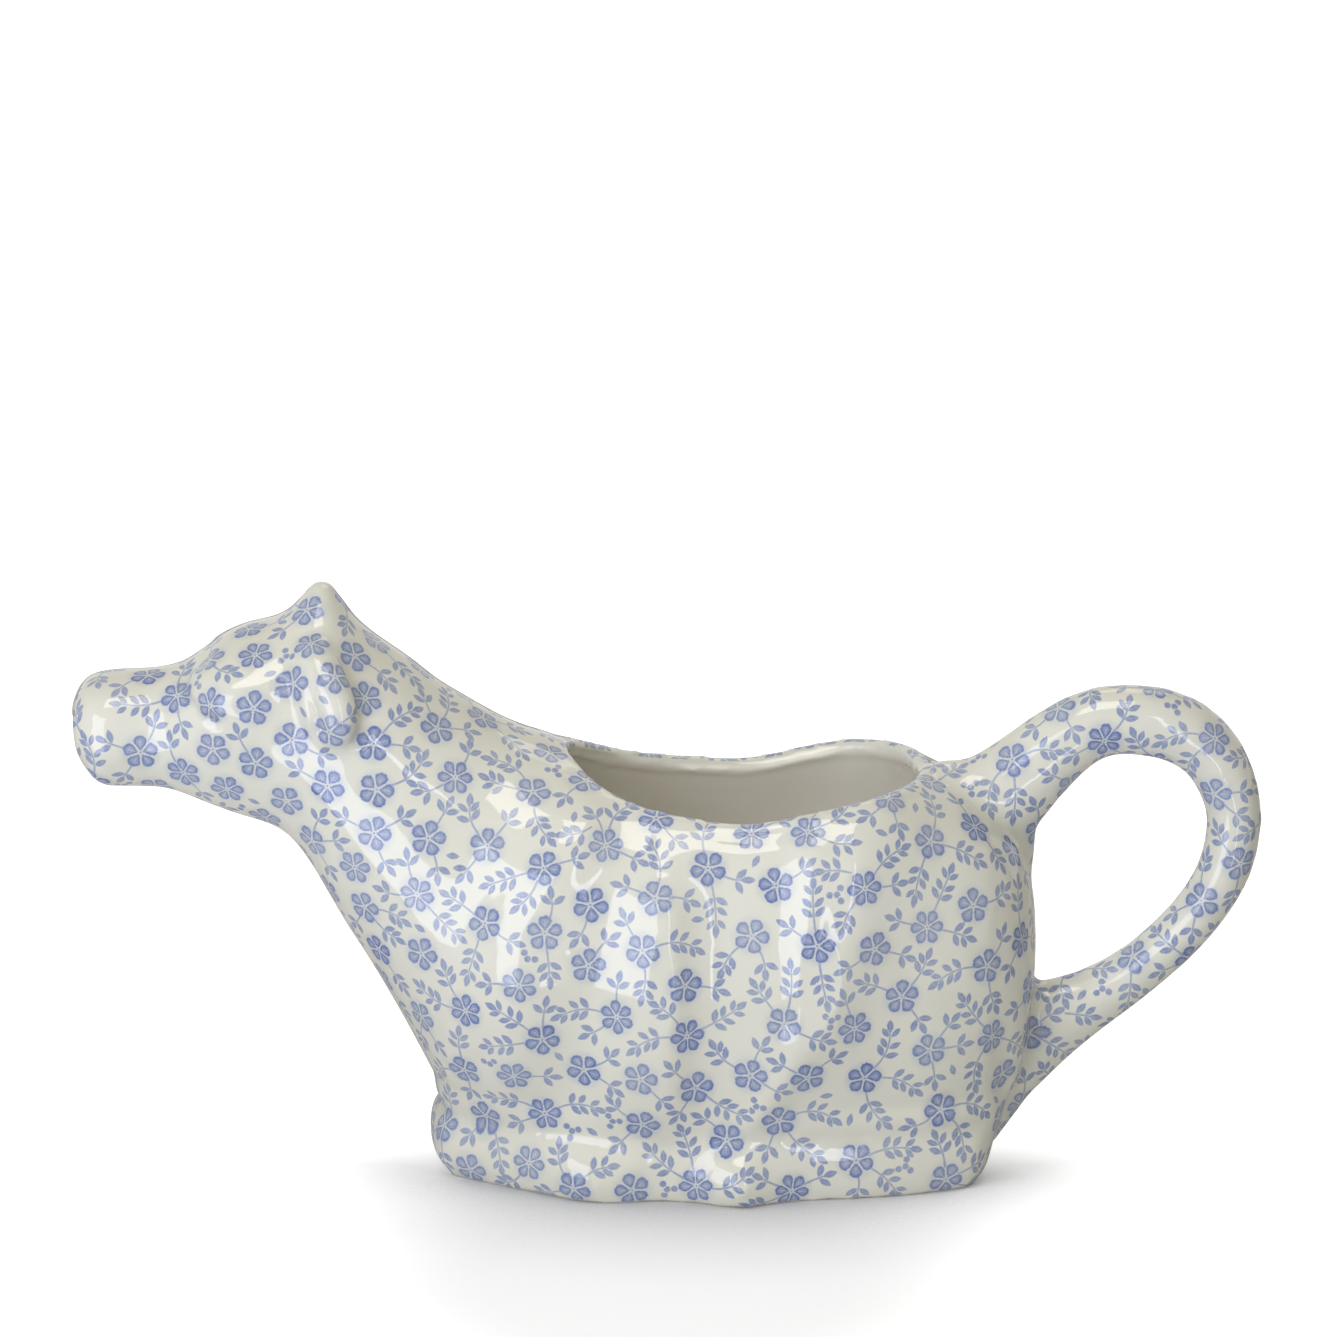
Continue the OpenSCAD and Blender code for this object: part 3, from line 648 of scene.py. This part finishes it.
# The glaze
class Net:
    """A small helper that writes node trees as sums."""

    def __init__(self, tree):
        self.nodes, self.links = tree.nodes, tree.links

    def new(self, kind, value=None, socket=0):
        n = self.nodes.new(kind)
        if value is not None:
            self.put(n.inputs[socket], value)
        return n

    def put(self, socket, value):
        if isinstance(value, bpy.types.NodeSocket):
            self.links.new(value, socket)
        else:
            socket.default_value = value

    def math(self, op, *values):
        n = self.nodes.new("ShaderNodeMath")
        n.operation = op
        for socket, value in zip(n.inputs, values):
            self.put(socket, value)
        return n.outputs[0]

    def add(self, a, b):
        return self.math("ADD", a, b)

    def sub(self, a, b):
        return self.math("SUBTRACT", a, b)

    def mul(self, a, b):
        return self.math("MULTIPLY", a, b)

    def div(self, a, b):
        return self.math("DIVIDE", a, b)

    def most(self, first, *rest):
        for value in rest:
            first = self.math("MAXIMUM", first, value)
        return first

    def length(self, a, b):
        return self.math("SQRT", self.add(self.mul(a, a), self.mul(b, b)))

    def size(self, a):
        return self.math("ABSOLUTE", a)

    def ramp(self, value, low, high, to_low=0.0, to_high=1.0):
        n = self.nodes.new("ShaderNodeMapRange")
        n.interpolation_type = "SMOOTHSTEP"
        for socket, v in zip(n.inputs, (value, low, high, to_low, to_high)):
            self.put(socket, v)
        return n.outputs[0]

    def mix(self, t, a, b):
        n = self.nodes.new("ShaderNodeMix")
        n.data_type = "RGBA"
        self.put(n.inputs["Factor"], t)
        self.put(n.inputs["A"], a)
        self.put(n.inputs["B"], b)
        return n.outputs["Result"]

    def attribute(self, name):
        n = self.nodes.new("ShaderNodeAttribute")
        n.attribute_name = name
        return n.outputs["Fac"], n.outputs["Vector"]

    def parts(self, vector):
        return self.new("ShaderNodeSeparateXYZ", vector).outputs

    def noise(self, vector, scale, detail=2.0):
        n = self.new("ShaderNodeTexNoise", vector, "Vector")
        n.inputs["Scale"].default_value = scale
        n.inputs["Detail"].default_value = detail
        return n.outputs["Fac"]


def flower_ink(k, waver):
    """Broad petals with darker edges and a vein, round a pale dotted middle."""
    u, v, kind = k.parts(k.attribute("bloom")[1])
    petals = k.math("FLOOR", kind)
    strength = k.ramp(k.math("FRACT", kind), 0.0, 0.9, 0.86, 1.14)
    r = k.length(u, v)
    sector = k.div(2 * math.pi, petals)
    turn = k.math("MODULO", k.add(k.math("ARCTAN2", v, u), 20 * math.pi), sector)
    fold = k.sub(turn, k.mul(sector, 0.5))
    x, y = k.mul(r, k.math("COSINE", fold)), k.mul(r, k.math("SINE", fold))
    half = k.mul(k.div(5.5, petals), k.ramp(x, 0.7, 2.4, 0.62, 1.08))
    petal = k.add(k.length(k.div(k.sub(x, 1.82), 1.18), k.div(y, half)), waver)
    inside = k.ramp(petal, 1.14, 0.84)
    fill = k.add(0.56, k.mul(k.ramp(petal, 0.45, 0.85), 0.4))
    vein = k.mul(k.ramp(k.size(y), 0.16, 0.05), k.ramp(x, 2.4, 1.9, 0.0, 0.25))
    middle = k.add(r, waver)
    dots = k.ramp(k.size(k.sub(middle, 0.62)), 0.22, 0.06)
    dots = k.mul(dots, k.ramp(k.size(y), 0.28, 0.12, 0.1, 0.75))
    haze = k.ramp(r, 4.1, 2.2, 0.0, 0.12)
    ink = k.most(k.mul(inside, k.sub(fill, vein)), dots, k.ramp(middle, 0.26, 0.12, 0.0, 0.6), haze)
    return k.mul(ink, strength)


def leaf_ink(k, waver):
    """Leaves with a pale rib where the third value is above zero, berries where it is below."""
    u, v, size = k.parts(k.attribute("leaf")[1])
    leaf = k.math("GREATER_THAN", size, 0.0)
    big = k.size(size)
    long, wide = k.div(u, k.mul(big, 1.2)), k.div(v, k.mul(big, 0.54))
    blade = k.add(k.add(k.mul(long, long), k.size(wide)), waver)
    inside = k.mul(k.ramp(blade, 1.28, 0.74), k.sub(0.64, k.ramp(k.size(v), 0.14, 0.03, 0.0, 0.14)))
    ball = k.add(k.div(k.length(u, v), k.mul(big, 0.56)), waver)
    return k.most(k.mul(inside, leaf), k.mul(k.ramp(ball, 1.25, 0.75, 0.0, 0.66), k.sub(1.0, leaf)))


def printed_glaze():
    mat = bpy.data.materials.new("printed_glaze")
    mat.use_nodes = True
    shader = mat.node_tree.nodes["Principled BSDF"]
    k = Net(mat.node_tree)
    at = k.new("ShaderNodeTexCoord").outputs["Object"]
    # The print's edges waver, as if engraved and slightly run in the glaze
    waver = k.mul(k.sub(k.noise(at, 2400, 1.0), 0.5), 0.34)
    _, across, half = k.parts(k.attribute("stem")[1])
    line = k.mul(k.ramp(k.sub(k.add(k.size(across), k.mul(waver, 0.3)), half), 0.1, -0.08), 0.48)
    ink = k.most(flower_ink(k, waver), leaf_ink(k, waver), line)
    ink = k.mul(ink, k.ramp(k.noise(at, 95), 0.3, 0.7, 0.82, 1.14))
    ink = k.mul(ink, k.ramp(k.noise(at, 1500, 3.0), 0.3, 0.7, 0.84, 1.12))
    ink = k.mul(ink, k.ramp(k.attribute("edge")[0], 0.1, 0.5))
    # The blue takes more of the red than of the green, and little of the blue
    tint = k.new("ShaderNodeCombineXYZ")
    for socket, share in zip(tint.inputs, INK):
        k.put(socket, k.math("POWER", share, ink))
    # The glaze is deeper in colour where it pools, and the hollows are darkened further with painted
    # shade
    pool = k.attribute("pool")[0]
    clay = k.mix(k.ramp(pool, 0.0, 0.12), CREAM, POOLED_AND_SHADED)
    clay = k.mix(k.ramp(k.noise(at, 55, 3.0), 0.35, 0.65, 0.0, 0.5), clay, PALE)
    # The well's inside takes the lighter colour, painted light in place of the light that reaches in
    clay = k.mix(k.ramp(k.attribute("edge")[0], 0.0, -1.4), clay, LIT_INSIDE)
    colour = k.new("ShaderNodeVectorMath", clay)
    colour.operation = "MULTIPLY"
    k.put(colour.inputs[1], tint.outputs[0])
    height = k.parts(at)[2]
    foot = k.ramp(height, 0.0003, 0.0001)
    k.put(shader.inputs["Base Color"], k.mix(foot, colour.outputs[0], BARE))
    gloss = k.ramp(k.noise(at, 320), 0.3, 0.7, 0.035, 0.06)
    k.put(shader.inputs["Roughness"], k.add(gloss, k.mul(foot, 0.6)))
    shader.inputs["IOR"].default_value = 1.5
    bump = k.new("ShaderNodeBump")
    bump.inputs["Strength"].default_value = 0.06
    bump.inputs["Distance"].default_value = 0.0004
    k.put(bump.inputs["Height"], k.noise(at, 140))
    k.put(shader.inputs["Normal"], bump.outputs[0])
    return mat


def piece_of(name, faces, material):
    """One subcomponent's share of the skin, shaded as part of the whole."""
    verts, corners = np.unique(quads[faces].ravel(), return_inverse=True)
    piece = bpy.data.meshes.new(name)
    piece.vertices.add(len(verts))
    piece.vertices.foreach_set("co", points[verts].astype(np.float32).ravel())
    piece.loops.add(len(corners))
    piece.loops.foreach_set("vertex_index", corners.ravel().astype(np.int32))
    piece.polygons.add(len(faces))
    piece.polygons.foreach_set("loop_start", np.arange(len(faces), dtype=np.int32) * 4)
    piece.update(calc_edges=True)
    for layer, values in (("bloom", blooms), ("leaf", leaves), ("stem", stems)):
        a = piece.attributes.new(layer, "FLOAT_VECTOR", "CORNER")
        a.data.foreach_set("vector", values.values[faces].ravel())
    store(piece, "edge", edge[verts])
    store(piece, "pool", pool[verts])
    piece.normals_split_custom_set_from_vertices([tuple(n) for n in normal[verts]])
    piece.materials.append(material)
    ob = bpy.data.objects.new(name, piece)
    scene.collection.objects.link(ob)
    return ob


glaze = printed_glaze()
for number, node in enumerate(NODES):
    piece = piece_of(node + "_skin", np.nonzero(owner == number)[0], glaze)
    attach(piece, "root")
    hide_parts(node)
bpy.data.objects.remove(skin)

# The photograph looks along +Y and down by about 15 degrees. The frame's width and the
# distance are in metres.
ELEVATION = math.radians(15)
FRAME_W, DISTANCE = 0.2241, 1.1
AIM = Vector((0, 0, 0.08565))
SENSOR = 36


def placed(name, data, at, target):
    ob = bpy.data.objects.new(name, data)
    ob.location = at
    ob.rotation_euler = (Vector(target) - Vector(at)).to_track_quat("-Z", "Y").to_euler()
    scene.collection.objects.link(ob)
    return ob


lens = bpy.data.cameras.new("camera")
lens.sensor_width = SENSOR
lens.lens = SENSOR * DISTANCE / FRAME_W
lens.clip_start, lens.clip_end = 0.05, 20
eye = AIM + DISTANCE * Vector((0, -math.cos(ELEVATION), math.sin(ELEVATION)))
scene.camera = placed("camera", lens, eye, AIM)

# Softboxes: azimuth to the right of the camera and height above the table in degrees,
# distance, width and height in metres, power in watts, and colour. All face LIT_AT.
LIT_AT = Vector((0, 0, 0.05))
COOL, WARM = (0.93, 0.97, 1.12), (1.05, 1.0, 0.89)
SOFTBOXES = {
    "key": (-33, 3, 0.9, 0.47, 0.98, 5.2, COOL),
    "strip": (15, 6, 0.9, 0.06, 0.9, 0.8, COOL),
    "top": (-12, 66, 1.1, 0.5, 0.5, 3.8, WARM),
    "back": (165, 50, 1.1, 0.5, 0.4, 0.9, WARM),
}
for name, (azimuth, height, far, wide, tall, power, colour) in SOFTBOXES.items():
    lamp = bpy.data.lights.new(name, "AREA")
    lamp.color = colour
    lamp.shape = "RECTANGLE"
    lamp.size, lamp.size_y, lamp.energy = wide, tall, power
    a, h = math.radians(azimuth), math.radians(height)
    way = Vector((math.sin(a) * math.cos(h), -math.cos(a) * math.cos(h), math.sin(h)))
    placed(name, lamp, LIT_AT + far * way, LIT_AT)

world = bpy.data.worlds.new("world")
scene.world = world
world.use_nodes = True
k = Net(world.node_tree)
ray = k.new("ShaderNodeLightPath").outputs
seen = k.most(ray["Is Camera Ray"], ray["Is Glossy Ray"], ray["Is Transmission Ray"])
back = world.node_tree.nodes["Background"]
k.put(back.inputs["Color"], k.mix(seen, SKY, (1, 1, 1, 1)))
back.inputs["Strength"].default_value = 1.0

# The tabletop is white to the camera, keeps the lamps' shadow with a painted contact shadow added, and
# turns plain white further out.
# It ends just below the picture, so that the softboxes behind it show low down in the glaze.
TABLE_EDGE, REACH = -0.125, 3
corners = [(-REACH, TABLE_EDGE, 0), (REACH, TABLE_EDGE, 0), (REACH, REACH, 0), (-REACH, REACH, 0)]
floor = mesh_object("floor", corners, [(0, 1, 2, 3)])
white = bpy.data.materials.new("white_floor")
white.use_nodes = True
k = Net(white.node_tree)
paper = white.node_tree.nodes["Principled BSDF"]
paper.inputs["Roughness"].default_value = 0.9
ray = k.new("ShaderNodeLightPath").outputs
at = k.new("ShaderNodeTexCoord").outputs["Object"]
x, y, _ = k.parts(at)
tone = k.mix(ray["Is Camera Ray"], (0.8, 0.8, 0.8, 1), (0.44, 0.445, 0.465, 1))
k.put(paper.inputs["Base Color"], tone)
away = k.ramp(k.length(k.mul(x, 1.1), k.add(y, 0.06)), 0.03, 0.085, FLOOR_LIFT, 1.0)
# The glow to the camera dims where the object hides the sky and in front of it, which paints a shadow
# on the table
nook = k.new("ShaderNodeAmbientOcclusion")
nook.samples = 8
nook.inputs["Distance"].default_value = 0.06
glow = k.new("ShaderNodeEmission")
open_air = k.ramp(nook.outputs["AO"], 0.3, 0.93)
# The shadow falls towards the camera, as in the photo, and the table behind stays white
lift = k.most(k.mul(away, open_air), k.ramp(y, -0.025, 0.012))
k.put(glow.inputs["Strength"], k.mul(lift, ray["Is Camera Ray"]))
both = k.new("ShaderNodeAddShader")
k.put(both.inputs[0], paper.outputs[0])
k.put(both.inputs[1], glow.outputs[0])
k.put(white.node_tree.nodes["Material Output"].inputs["Surface"], both.outputs[0])
floor.data.materials.append(white)
scene.view_settings.view_transform = "Standard"
